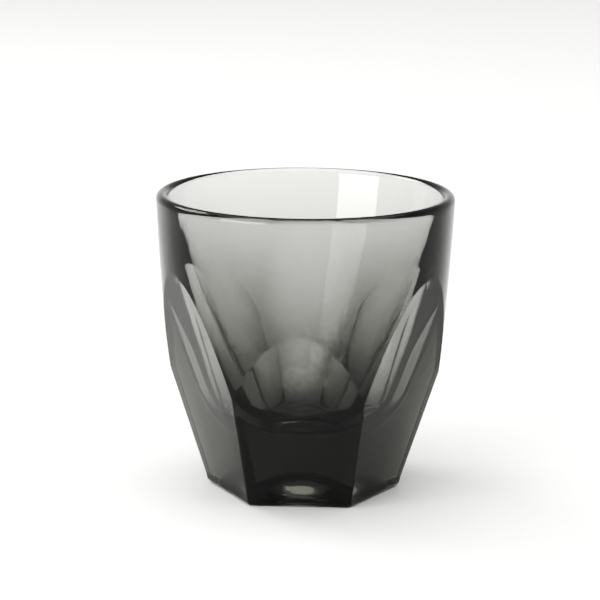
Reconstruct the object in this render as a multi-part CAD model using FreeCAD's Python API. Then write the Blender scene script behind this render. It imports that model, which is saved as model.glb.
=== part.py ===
import FreeCAD, Part
import math
import os

"""A pressed-glass whiskey tumbler, in millimetres.

One piece of glass.  +Z is up and is the axis of the bowl.  The origin is the middle of the
surface that the glass stands on.  Six flat facets lean outwards from a hexagonal foot and run
out in pointed arches on a round, slightly barrelled wall.  Short arches alternate with tall
ones, because the facets under the short arches lean out further.  A short arch faces -Y, and
the other two are 120 degrees round from it on either side.  The bowl inside is round and
narrows smoothly to a small level floor, over a thick solid base.  A domed recess hollows the
underside.
"""

# Whole glass
TOTAL_HEIGHT = 81.2
RIM_DIAMETER = 80.0
RIM_THICKNESS = 3.32

# Round outer wall: one long arc from under the foot to the rim
WALL_FOOT_DIAMETER = 65.8
WALL_BULGE = 0.8

# Facets: degrees of lean from upright, and the foot's half width to each kind of facet
FACET_PAIRS = 3
SHORT_ARCH_HALF_WIDTH = 22.15
SHORT_ARCH_LEAN = 17.7
TALL_ARCH_HALF_WIDTH = 22.7
TALL_ARCH_LEAN = 14.7
EDGE_ROUNDING = 1.2

# Bowl: the wall leans in a little at the lip and more lower down, then turns the corner
BOWL_LIP_LEAN = 10.0
BOWL_LOW_LEAN = 26.0
BOWL_CORNER_RADIUS = 17.0
BOWL_FLOOR_HEIGHT = 20.0

# Domed recess under the foot
RECESS_DIAMETER = 36.0
RECESS_DEPTH = 9.0

FULL_TURN_DEGREES = 360.0
LEVEL = math.pi / 2
SIXTH_TURN = math.pi / 3
LOFT_MARGIN = 1.0
UP = FreeCAD.Vector(0, 0, 1)
AXIS_POINT = FreeCAD.Vector(0, 0, 0)


def section_point(radius, height):
    """A point of a revolved section, which is drawn in the XZ plane."""
    return FreeCAD.Vector(radius, 0, height)


def bowed_edge(start, end, bulge):
    """An arc from start up to end whose middle stands out from the axis by bulge."""
    chord = end - start
    outward = FreeCAD.Vector(chord.z, 0, -chord.x)
    outward.normalize()
    middle = (start + end) * 0.5 + outward * bulge
    return Part.Arc(start, middle, end).toShape()


def point_down_arc(start, radius, start_lean, lean):
    """Where a curve that leaves start at one lean from upright has come to at another lean."""
    inward = radius * (math.cos(start_lean) - math.cos(lean))
    down = radius * (math.sin(lean) - math.sin(start_lean))
    return section_point(start.x - inward, start.z - down)


def edge_down_arc(start, radius, start_lean, end_lean):
    """The arc that leaves start at one lean and ends at another, and its end point."""
    middle = point_down_arc(start, radius, start_lean, (start_lean + end_lean) / 2)
    end = point_down_arc(start, radius, start_lean, end_lean)
    return Part.Arc(start, middle, end).toShape(), end


def bowl_wall_radius(lip, lip_lean, low_lean):
    """The radius of the wall's long arc, which must leave room for the corner below it."""
    corner_rise = BOWL_CORNER_RADIUS * (1 - math.sin(low_lean))
    drop = lip.z - BOWL_FLOOR_HEIGHT - corner_rise
    return drop / (math.sin(low_lean) - math.sin(lip_lean))


def bowl_edges(lip):
    """The bowl's section from the lip down the wall, round the corner and across the floor."""
    lip_lean = math.radians(BOWL_LIP_LEAN)
    low_lean = math.radians(BOWL_LOW_LEAN)
    wall_radius = bowl_wall_radius(lip, lip_lean, low_lean)
    wall, wall_end = edge_down_arc(lip, wall_radius, lip_lean, low_lean)
    corner, floor_edge = edge_down_arc(wall_end, BOWL_CORNER_RADIUS, low_lean, LEVEL)
    floor = Part.LineSegment(floor_edge, section_point(0, floor_edge.z)).toShape()
    return [wall, corner, floor]


def revolved(edges):
    """The solid that a closed section sweeps in one turn about the bowl's axis."""
    wire = Part.Wire(Part.__sortEdges__(edges))
    return Part.Face(wire).revolve(AXIS_POINT, UP, FULL_TURN_DEGREES)


def round_glass():
    """The glass before its facets: wall, rounded rim, bowl and solid base."""
    rim_radius = RIM_DIAMETER / 2
    rim_round = RIM_THICKNESS / 2
    rim_round_height = TOTAL_HEIGHT - rim_round
    lip = section_point(rim_radius - RIM_THICKNESS, rim_round_height)
    rim_top = section_point(rim_radius - rim_round, TOTAL_HEIGHT)
    rim_outside = section_point(rim_radius, rim_round_height)
    foot_outside = section_point(WALL_FOOT_DIAMETER / 2, 0)
    foot_middle = section_point(0, 0)
    floor_middle = section_point(0, BOWL_FLOOR_HEIGHT)
    return revolved(bowl_edges(lip) + [
        Part.Arc(lip, rim_top, rim_outside).toShape(),
        bowed_edge(foot_outside, rim_outside, WALL_BULGE),
        Part.LineSegment(foot_outside, foot_middle).toShape(),
        Part.LineSegment(foot_middle, floor_middle).toShape(),
    ])


def corner_between(first_half_width, next_half_width, first_facing, turn, height):
    """Where two facets' planes meet, given their distances from the axis at this height."""
    along = first_half_width
    across = (next_half_width - along * math.cos(SIXTH_TURN)) / math.sin(SIXTH_TURN) * turn
    x = along * math.cos(first_facing) - across * math.sin(first_facing)
    y = along * math.sin(first_facing) + across * math.cos(first_facing)
    return FreeCAD.Vector(x, y, height)


def facet_ring(height):
    """The six-sided outline that the facets' planes cut at a height, as a closed wire."""
    short = SHORT_ARCH_HALF_WIDTH + height * math.tan(math.radians(SHORT_ARCH_LEAN))
    tall = TALL_ARCH_HALF_WIDTH + height * math.tan(math.radians(TALL_ARCH_LEAN))
    corners = []
    for pair in range(FACET_PAIRS):
        short_facing = 2 * SIXTH_TURN * pair - LEVEL
        corners.append(corner_between(short, tall, short_facing, -1, height))
        corners.append(corner_between(short, tall, short_facing, 1, height))
    return Part.makePolygon(corners + corners[:1])


def faceted_block():
    """The flaring six-sided block that trims the round glass to its facets."""
    rings = [facet_ring(0), facet_ring(TOTAL_HEIGHT + LOFT_MARGIN)]
    block = Part.makeLoft(rings, True, True)
    rounded_edges = [edge for edge in block.Edges if edge.BoundBox.ZMin < EDGE_ROUNDING]
    return block.makeFillet(EDGE_ROUNDING, rounded_edges)


def underside_recess():
    """The ball that hollows a dome under the foot."""
    edge_radius = RECESS_DIAMETER / 2
    ball_radius = (edge_radius ** 2 + RECESS_DEPTH ** 2) / (2 * RECESS_DEPTH)
    return Part.makeSphere(ball_radius, FreeCAD.Vector(0, 0, RECESS_DEPTH - ball_radius))


def tumbler_glass():
    """The whole tumbler, a single pressing."""
    glass = round_glass().common(faceted_block())
    glass = glass.cut(underside_recess())
    return glass.removeSplitter().Solids[0]


os.makedirs("parts", exist_ok=True)
glass = tumbler_glass()
glass.exportStep("parts/tumbler_glass.step")
print("tumbler_glass valid", glass.isValid(), "volume ml", round(glass.Volume / 1000, 2))
print("box", glass.BoundBox)
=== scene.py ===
"""The looks of a pressed-glass whiskey tumbler.  All lengths are in metres.

The glass is one closed mesh, in the shape and place of the CAD solid that it replaces, on a
grid whose lines follow the edges of the facets.  Its colour comes from absorption inside the
glass, so the thick base is dark and the thin wall is pale.
"""
import math

import bpy
import numpy as np
from mathutils import Matrix, Vector


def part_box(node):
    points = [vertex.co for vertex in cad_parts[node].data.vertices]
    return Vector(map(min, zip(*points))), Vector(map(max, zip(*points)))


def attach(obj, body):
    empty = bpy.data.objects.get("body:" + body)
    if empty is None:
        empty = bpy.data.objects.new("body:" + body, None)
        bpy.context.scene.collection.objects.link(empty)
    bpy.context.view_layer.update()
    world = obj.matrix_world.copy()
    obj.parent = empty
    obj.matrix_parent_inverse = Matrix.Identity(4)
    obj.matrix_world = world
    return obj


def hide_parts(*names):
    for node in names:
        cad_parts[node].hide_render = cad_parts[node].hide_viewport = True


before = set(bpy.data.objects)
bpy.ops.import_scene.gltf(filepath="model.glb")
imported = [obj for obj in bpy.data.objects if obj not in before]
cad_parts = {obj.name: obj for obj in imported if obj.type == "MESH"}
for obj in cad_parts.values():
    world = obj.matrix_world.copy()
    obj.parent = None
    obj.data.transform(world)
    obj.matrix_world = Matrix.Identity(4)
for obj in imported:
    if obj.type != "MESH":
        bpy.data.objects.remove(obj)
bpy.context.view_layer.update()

# ---------------------------------------------------------------- the glass's dimensions
GLASS = "tumbler_glass"
low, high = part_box(GLASS)
HEIGHT = high.z
RIM_RADIUS = (high.x - low.x) / 2
MM = RIM_RADIUS / 40.0

# round outer wall: one long arc from under the foot to the rounded rim
RIM_ROUND = 1.66 * MM
WALL_TOP = HEIGHT - RIM_ROUND
WALL_FOOT_RADIUS = 32.9 * MM
WALL_BULGE = 0.8 * MM

# facets: those under short arches alternate with those under tall ones
SHORT_HALF_FLATS = 22.15 * MM
SHORT_SLOPE = math.tan(math.radians(17.7))
TALL_HALF_FLATS = 22.7 * MM
TALL_SLOPE = math.tan(math.radians(14.7))
PAIRS = 3
SIXTH = math.pi / 3
FRONT = -math.pi / 2
FOOT_ROUNDING = 2.0 * MM
CORNER_BLEND = 0.5 * MM
ARCH_BLEND = 0.10 * MM
LOWEST_ARCH = 0.2 * HEIGHT
HIGHEST_ARCH = 0.95 * HEIGHT

# bowl: degrees of lean from upright at the lip and at the top of the rounded corner
BOWL_LIP_LEAN = 10.0
BOWL_LOW_LEAN = 26.0
BOWL_CORNER = 17.0 * MM
FLOOR_HEIGHT = 20.0 * MM

# domed recess under the foot
PUNT_RADIUS = 18.0 * MM
PUNT_HEIGHT = 9.0 * MM

# grid: columns round the glass, and rows up and down its surface
CORNER_ZONE = 0.06
CORNER_COLUMNS = 17
FACET_COLUMNS = 26
PUNT_ROWS = 30
LAND_PLACES = (0.06, 0.35, 0.7, 0.95)
FOOT_ROWS = 12
FACET_ROWS = 24
EDGE_WIDTH = 0.42 * MM
EDGE_PLACES = (-1.5, -1.0, -0.7, -0.35, 0, 0.35, 0.7, 1.0, 1.5)
WALL_ROWS = 26
RIM_ROWS = 17
BOWL_WALL_ROWS = 50
BOWL_CORNER_ROWS = 40
BOWL_FLOOR_ROWS = 8
NEAR_AXIS = 0.03
NEAR_FLOOR_MIDDLE = 0.05
HALVINGS = 50


# ---------------------------------------------------------------- surfaces of the glass
def smooth_min(a, b, blend):
    """The smaller of two radii, with the crossing rounded off over a width of about blend."""
    near = np.maximum(blend - np.abs(a - b), 0) / blend
    return np.minimum(a, b) - near * near * blend / 4


def wall_radius(z):
    """The round outer wall's radius at height z."""
    t = np.clip(z / WALL_TOP, 0, 1)
    straight = WALL_FOOT_RADIUS + (RIM_RADIUS - WALL_FOOT_RADIUS) * t
    return straight + 4 * WALL_BULGE * t * (1 - t)


def corner_angle(z):
    """The angle from a short facet's middle to the edge that it shares with a tall facet."""
    ratio = (TALL_HALF_FLATS + TALL_SLOPE * z) / (SHORT_HALF_FLATS + SHORT_SLOPE * z)
    return np.arctan((ratio - math.cos(SIXTH)) / math.sin(SIXTH))


def column_angle(place, z):
    """Place 0 is the middle of a short facet, 1 its corner, 2 the middle of the tall facet."""
    corner = corner_angle(z)
    return np.where(place <= 1, place * corner, SIXTH - (2 - place) * (SIXTH - corner))


def facet_radius(angle, z):
    """The six-sided block's radius, with its upright corners eased."""
    short = (SHORT_HALF_FLATS + SHORT_SLOPE * z) / np.cos(angle)
    tall = (TALL_HALF_FLATS + TALL_SLOPE * z) / np.cos(SIXTH - angle)
    return smooth_min(short, tall, CORNER_BLEND)


def arch_height(place):
    """The height at which a column of the grid leaves its facet for the round wall."""
    low_z = np.zeros_like(place) + LOWEST_ARCH
    high_z = np.zeros_like(place) + HIGHEST_ARCH
    for _ in range(HALVINGS):
        middle = (low_z + high_z) / 2
        inside = facet_radius(column_angle(place, middle), middle) < wall_radius(middle)
        low_z = np.where(inside, middle, low_z)
        high_z = np.where(inside, high_z, middle)
    return (low_z + high_z) / 2


def bowl_profile():
    """Radius and height down the bowl: a bowed wall that runs smoothly into a round corner."""
    lip = math.radians(BOWL_LIP_LEAN)
    foot = math.radians(BOWL_LOW_LEAN)
    top = np.array([RIM_RADIUS - 2 * RIM_ROUND, WALL_TOP])
    drop = top[1] - FLOOR_HEIGHT - BOWL_CORNER * (1 - math.sin(foot))
    bow = drop / (math.sin(foot) - math.sin(lip))
    points = []
    for lean in np.linspace(lip, foot, BOWL_WALL_ROWS)[1:]:
        inward = bow * (math.cos(lip) - math.cos(lean))
        down = bow * (math.sin(lean) - math.sin(lip))
        points.append((top[0] - inward, top[1] - down))
    centre = points[-1][0] - BOWL_CORNER * math.cos(foot)
    for lean in np.linspace(foot, math.pi / 2, BOWL_CORNER_ROWS)[1:]:
        points.append((centre + BOWL_CORNER * math.cos(lean),
                       FLOOR_HEIGHT + BOWL_CORNER * (1 - math.sin(lean))))
    for t in np.linspace(1, NEAR_FLOOR_MIDDLE, BOWL_FLOOR_ROWS)[1:]:
        points.append((centre * t, FLOOR_HEIGHT))
    return points


# ---------------------------------------------------------------- grid of the glass
def column_places():
    """Places of the columns from a short facet's middle to a tall one's, close at the corner."""
    near = list(np.linspace(0, 1 - CORNER_ZONE, FACET_COLUMNS)[:-1])
    corner = list(np.linspace(1 - CORNER_ZONE, 1 + CORNER_ZONE, CORNER_COLUMNS))
    far = list(np.linspace(1 + CORNER_ZONE, 2, FACET_COLUMNS)[1:])
    return np.array(near + corner + far)


def row_at(place, tip, radius, z):
    """Angle, radius and height of one grid line.  Columns run straight up above the tip."""
    z = np.zeros_like(place) + z
    return column_angle(place, np.minimum(z, tip)), np.zeros_like(place) + radius, z


def punt_rows(place, tip):
    """The dome under the foot, from near its top to its rim."""
    ball = (PUNT_RADIUS**2 + PUNT_HEIGHT**2) / (2 * PUNT_HEIGHT)
    rows = []
    for t in np.linspace(NEAR_AXIS, 1, PUNT_ROWS):
        r = PUNT_RADIUS * t
        rows.append(row_at(place, tip, r, math.sqrt(ball**2 - r**2) - (ball - PUNT_HEIGHT)))
    return rows


def foot_rows(place, tip):
    """The flat land that the glass stands on, and the rounding up to the facets."""
    foot = facet_radius(column_angle(place, np.zeros_like(place) + FOOT_ROUNDING), FOOT_ROUNDING)
    inner = foot - FOOT_ROUNDING
    rows = []
    for t in LAND_PLACES:
        rows.append(row_at(place, tip, PUNT_RADIUS + (inner - PUNT_RADIUS) * t, 0))
    for turn in np.linspace(0, math.pi / 2, FOOT_ROWS):
        radius = foot - FOOT_ROUNDING * (1 - math.sin(turn))
        rows.append(row_at(place, tip, radius, FOOT_ROUNDING * (1 - math.cos(turn))))
    return rows


def side_rows(place, tip):
    """The facets, close rows along their arched edges, and the round wall above."""
    arch = arch_height(place)
    slope = np.gradient(arch, place) / (SIXTH / 2 * wall_radius(arch))
    width = EDGE_WIDTH * np.sqrt(1 + slope**2)
    lower = arch - 2 * width
    upper = arch + 2 * width
    facet_steps = np.linspace(0, 1, FACET_ROWS)[1:]
    heights = [FOOT_ROUNDING + (lower - FOOT_ROUNDING) * t for t in facet_steps]
    heights += [arch + t * width for t in EDGE_PLACES]
    heights += [upper + (WALL_TOP - upper) * t for t in np.linspace(0, 1, WALL_ROWS)]
    rows = []
    for z in heights:
        angle = column_angle(place, np.minimum(z, tip))
        radius = smooth_min(facet_radius(angle, z), wall_radius(z), ARCH_BLEND)
        rows.append((angle, radius, z))
    return rows


def rim_rows(place, tip):
    """The half-round rim, from outside to inside."""
    rows = []
    for turn in np.linspace(0, math.pi, RIM_ROWS)[1:]:
        radius = RIM_RADIUS - RIM_ROUND + RIM_ROUND * math.cos(turn)
        rows.append(row_at(place, tip, radius, WALL_TOP + RIM_ROUND * math.sin(turn)))
    return rows


def bowl_rows(place, tip):
    """The bowl, from the lip down to near the middle of its floor."""
    level = np.zeros_like(place)
    angle = column_angle(place, level + tip)
    return [(angle, level + radius, level + z) for radius, z in bowl_profile()]


def glass_rows(place):
    """All the grid lines, from the top of the punt outwards, up, over the rim and down."""
    tip = arch_height(np.array([1.0]))[0]
    rows = []
    for part in (punt_rows, foot_rows, side_rows, rim_rows, bowl_rows):
        rows += part(place, tip)
    return rows


def row_points(angle, radius, z):
    """One grid line's points all round the glass: each column, then its mirror image."""
    r = np.concatenate([radius[:-1], radius[:0:-1]])
    h = np.concatenate([z[:-1], z[:0:-1]])
    points = []
    for pair in range(PAIRS):
        middle = 2 * SIXTH * pair + FRONT
        turn = np.concatenate([middle + angle[:-1], middle + 2 * SIXTH - angle[:0:-1]])
        points += list(zip(r * np.cos(turn), r * np.sin(turn), h))
    return points


def grid_faces(row_count, count):
    """Quads between neighbouring rows, and a fan of triangles at each end."""
    last = 1 + (row_count - 1) * count
    faces = [(0, 1 + (j + 1) % count, 1 + j) for j in range(count)]
    for start in range(1, last, count):
        for j in range(count):
            k = (j + 1) % count
            faces.append((start + j, start + k, start + count + k, start + count + j))
    faces += [(last + count, last + j, last + (j + 1) % count) for j in range(count)]
    return faces


def make_glass():
    """The whole tumbler as one closed mesh."""
    rows = glass_rows(column_places())
    points = [(0, 0, PUNT_HEIGHT)]
    for angle, radius, z in rows:
        points += row_points(angle, radius, z)
    points.append((0, 0, FLOOR_HEIGHT))
    faces = grid_faces(len(rows), (len(points) - 2) // len(rows))
    mesh = bpy.data.meshes.new("pressed_glass")
    mesh.from_pydata([tuple(map(float, point)) for point in points], [], faces)
    mesh.polygons.foreach_set("use_smooth", [True] * len(faces))
    mesh.update()
    obj = bpy.data.objects.new("pressed_glass", mesh)
    bpy.context.scene.collection.objects.link(obj)
    return obj


# ---------------------------------------------------------------- glass material
REFRACTION = 1.52
SMOKE_COLOUR = (0.50, 0.502, 0.486, 1)
SMOKE_DENSITY = 160.0

WAVE_SCALE = 70
WAVE_STRETCH = 0.35
WAVE_DEPTH = 0.0002
STREAK_SCALE = 420
STREAK_STRETCH = 0.2
STREAK_DEPTH = 0.00001
RIPPLE_DETAIL = 1.5

SHEEN_SCALE = 45
SHEEN_DETAIL = 3
SHEEN_FROM = 0.5
SHEEN_TO = 0.8
SHEEN_ROUGHNESS = 0.014


def ripple(nt, coord, stretch, scale, depth, below):
    """Shallow waves in the pressed surface, longer along the axis than round it."""
    mapping = nt.nodes.new("ShaderNodeMapping")
    mapping.inputs["Scale"].default_value = (1, 1, stretch)
    noise = nt.nodes.new("ShaderNodeTexNoise")
    noise.inputs["Scale"].default_value = scale
    noise.inputs["Detail"].default_value = RIPPLE_DETAIL
    bump = nt.nodes.new("ShaderNodeBump")
    bump.inputs["Strength"].default_value = 1
    bump.inputs["Distance"].default_value = depth
    nt.links.new(coord.outputs["Object"], mapping.inputs["Vector"])
    nt.links.new(mapping.outputs[0], noise.inputs["Vector"])
    nt.links.new(noise.outputs[0], bump.inputs["Height"])
    if below:
        nt.links.new(below.outputs[0], bump.inputs["Normal"])
    return bump


def handled_sheen(nt, coord):
    """Roughness that is nil over most of the glass and faint where it has been handled."""
    noise = nt.nodes.new("ShaderNodeTexNoise")
    noise.inputs["Scale"].default_value = SHEEN_SCALE
    noise.inputs["Detail"].default_value = SHEEN_DETAIL
    fade = nt.nodes.new("ShaderNodeMapRange")
    fade.inputs["From Min"].default_value = SHEEN_FROM
    fade.inputs["From Max"].default_value = SHEEN_TO
    fade.inputs["To Min"].default_value = 0
    fade.inputs["To Max"].default_value = SHEEN_ROUGHNESS
    nt.links.new(coord.outputs["Object"], noise.inputs["Vector"])
    nt.links.new(noise.outputs[0], fade.inputs["Value"])
    return fade


def glass_material():
    """Clear glass with a rippled surface, and grey absorption all through it."""
    mat = bpy.data.materials.new("smoked_glass")
    mat.use_nodes = True
    nt = mat.node_tree
    nt.nodes.clear()
    coord = nt.nodes.new("ShaderNodeTexCoord")
    out = nt.nodes.new("ShaderNodeOutputMaterial")
    body = nt.nodes.new("ShaderNodeBsdfPrincipled")
    body.inputs["Base Color"].default_value = (1, 1, 1, 1)
    body.inputs["Transmission Weight"].default_value = 1
    body.inputs["IOR"].default_value = REFRACTION
    waves = ripple(nt, coord, WAVE_STRETCH, WAVE_SCALE, WAVE_DEPTH, None)
    streaks = ripple(nt, coord, STREAK_STRETCH, STREAK_SCALE, STREAK_DEPTH, waves)
    nt.links.new(streaks.outputs[0], body.inputs["Normal"])
    nt.links.new(handled_sheen(nt, coord).outputs[0], body.inputs["Roughness"])
    nt.links.new(body.outputs[0], out.inputs["Surface"])
    smoke = nt.nodes.new("ShaderNodeVolumeAbsorption")
    smoke.inputs["Color"].default_value = SMOKE_COLOUR
    smoke.inputs["Density"].default_value = SMOKE_DENSITY
    nt.links.new(smoke.outputs[0], out.inputs["Volume"])
    return mat


glass = make_glass()
glass.data.materials.append(glass_material())
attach(glass, "root")
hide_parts(GLASS)

# ---------------------------------------------------------------- table, surround and lamps
TABLE_RADIUS = 1.7
TABLE_SIDES = 96
TABLE_COLOUR = (0.86, 0.86, 0.86, 1)
TABLE_ROUGHNESS = 0.9

LAMP_COLOUR = (1.0, 0.998, 0.98)
SURROUND_LOW = 0.9
SURROUND_HIGH = 0.5
FADE_FROM = 0.1
FADE_TO = 0.5

LAMP_AIM = (0, 0, 0.05)
KEY_DISTANCE = 0.9
KEY_TURN = math.radians(46.0)
KEY_PLACE = (-KEY_DISTANCE * math.sin(KEY_TURN), -KEY_DISTANCE * math.cos(KEY_TURN), 0.24)
KEY_SIZE = (0.62, 0.66)
KEY_POWER = 5.4
SIDE_PLACE = (-0.75, 0.45, 0.75)
SIDE_SIZE = (0.6, 0.4)
SIDE_POWER = 2.8
TOP_PLACE = (0, 0, 2.2)
TOP_SIZE = (3.0, 3.0)
TOP_POWER = 34.0


def table():
    """A round, matt, pale table."""
    mat = bpy.data.materials.new("table")
    mat.use_nodes = True
    surface = mat.node_tree.nodes["Principled BSDF"]
    surface.inputs["Base Color"].default_value = TABLE_COLOUR
    surface.inputs["Roughness"].default_value = TABLE_ROUGHNESS
    bpy.ops.mesh.primitive_circle_add(vertices=TABLE_SIDES, radius=TABLE_RADIUS,
                                      fill_type="NGON")
    floor = bpy.context.object
    floor.name = "floor"
    floor.data.materials.append(mat)


def studio_world():
    """A plain surround, pale at the horizon and darker overhead."""
    world = bpy.data.worlds.new("studio")
    bpy.context.scene.world = world
    world.use_nodes = True
    nt = world.node_tree
    background = nt.nodes["Background"]
    coord = nt.nodes.new("ShaderNodeTexCoord")
    split = nt.nodes.new("ShaderNodeSeparateXYZ")
    ramp = nt.nodes.new("ShaderNodeMapRange")
    ramp.inputs["From Min"].default_value = FADE_FROM
    ramp.inputs["From Max"].default_value = FADE_TO
    ramp.inputs["To Min"].default_value = SURROUND_LOW
    ramp.inputs["To Max"].default_value = SURROUND_HIGH
    background.inputs["Color"].default_value = (*LAMP_COLOUR, 1)
    nt.links.new(coord.outputs["Generated"], split.inputs[0])
    nt.links.new(split.outputs["Z"], ramp.inputs["Value"])
    nt.links.new(ramp.outputs[0], background.inputs["Strength"])


def soft_lamp(name, place, size, power):
    """A flat rectangular lamp, turned towards the glass."""
    light = bpy.data.lights.new(name, "AREA")
    light.shape = "RECTANGLE"
    light.size, light.size_y = size
    light.energy = power
    light.color = LAMP_COLOUR
    obj = bpy.data.objects.new(name, light)
    obj.location = place
    towards = Vector(LAMP_AIM) - Vector(place)
    obj.rotation_euler = towards.to_track_quat("-Z", "Y").to_euler()
    bpy.context.scene.collection.objects.link(obj)


table()
studio_world()
soft_lamp("key", KEY_PLACE, KEY_SIZE, KEY_POWER)
soft_lamp("top", TOP_PLACE, TOP_SIZE, TOP_POWER)
soft_lamp("side", SIDE_PLACE, SIDE_SIZE, SIDE_POWER)

# ---------------------------------------------------------------- camera and print
SENSOR_WIDTH = 36.0
LENS_LENGTH = 151.728
CAMERA_DISTANCE = 0.6659
CAMERA_HEIGHT = 0.20157
CAMERA_TURN = 0.043
CAMERA_PITCH = 0.22163
CAMERA_YAW = -0.0019
CAMERA_ROLL = 0.008

EXPOSURE = 0.13
TONE = ((0.05, 0.017), (0.127, 0.064), (0.18, 0.135), (0.27, 0.27), (0.4, 0.43), (0.78, 0.79))


def camera():
    """The camera stands in front of the glass, a little to its right, and looks down at it."""
    data = bpy.data.cameras.new("camera")
    data.sensor_width = SENSOR_WIDTH
    data.lens = LENS_LENGTH
    obj = bpy.data.objects.new("camera", data)
    obj.location = (CAMERA_DISTANCE * math.sin(CAMERA_TURN),
                    -CAMERA_DISTANCE * math.cos(CAMERA_TURN), CAMERA_HEIGHT)
    heading = Matrix.Rotation(CAMERA_TURN - CAMERA_YAW, 3, "Z")
    tilt = Matrix.Rotation(math.pi / 2 - CAMERA_PITCH, 3, "X")
    roll = Matrix.Rotation(CAMERA_ROLL, 3, "Z")
    obj.rotation_mode = "QUATERNION"
    obj.rotation_quaternion = (heading @ tilt @ roll).to_quaternion()
    bpy.context.scene.collection.objects.link(obj)
    bpy.context.scene.camera = obj


def print_tone(view):
    """The contrast of a product print: deeper shadows, and a little lift in the middle tones."""
    view.view_transform = "Standard"
    view.exposure = EXPOSURE
    view.use_curve_mapping = True
    curve = view.curve_mapping.curves[3]
    for shade, printed in TONE:
        curve.points.new(shade, printed)
    view.curve_mapping.update()


camera()
print_tone(bpy.context.scene.view_settings)
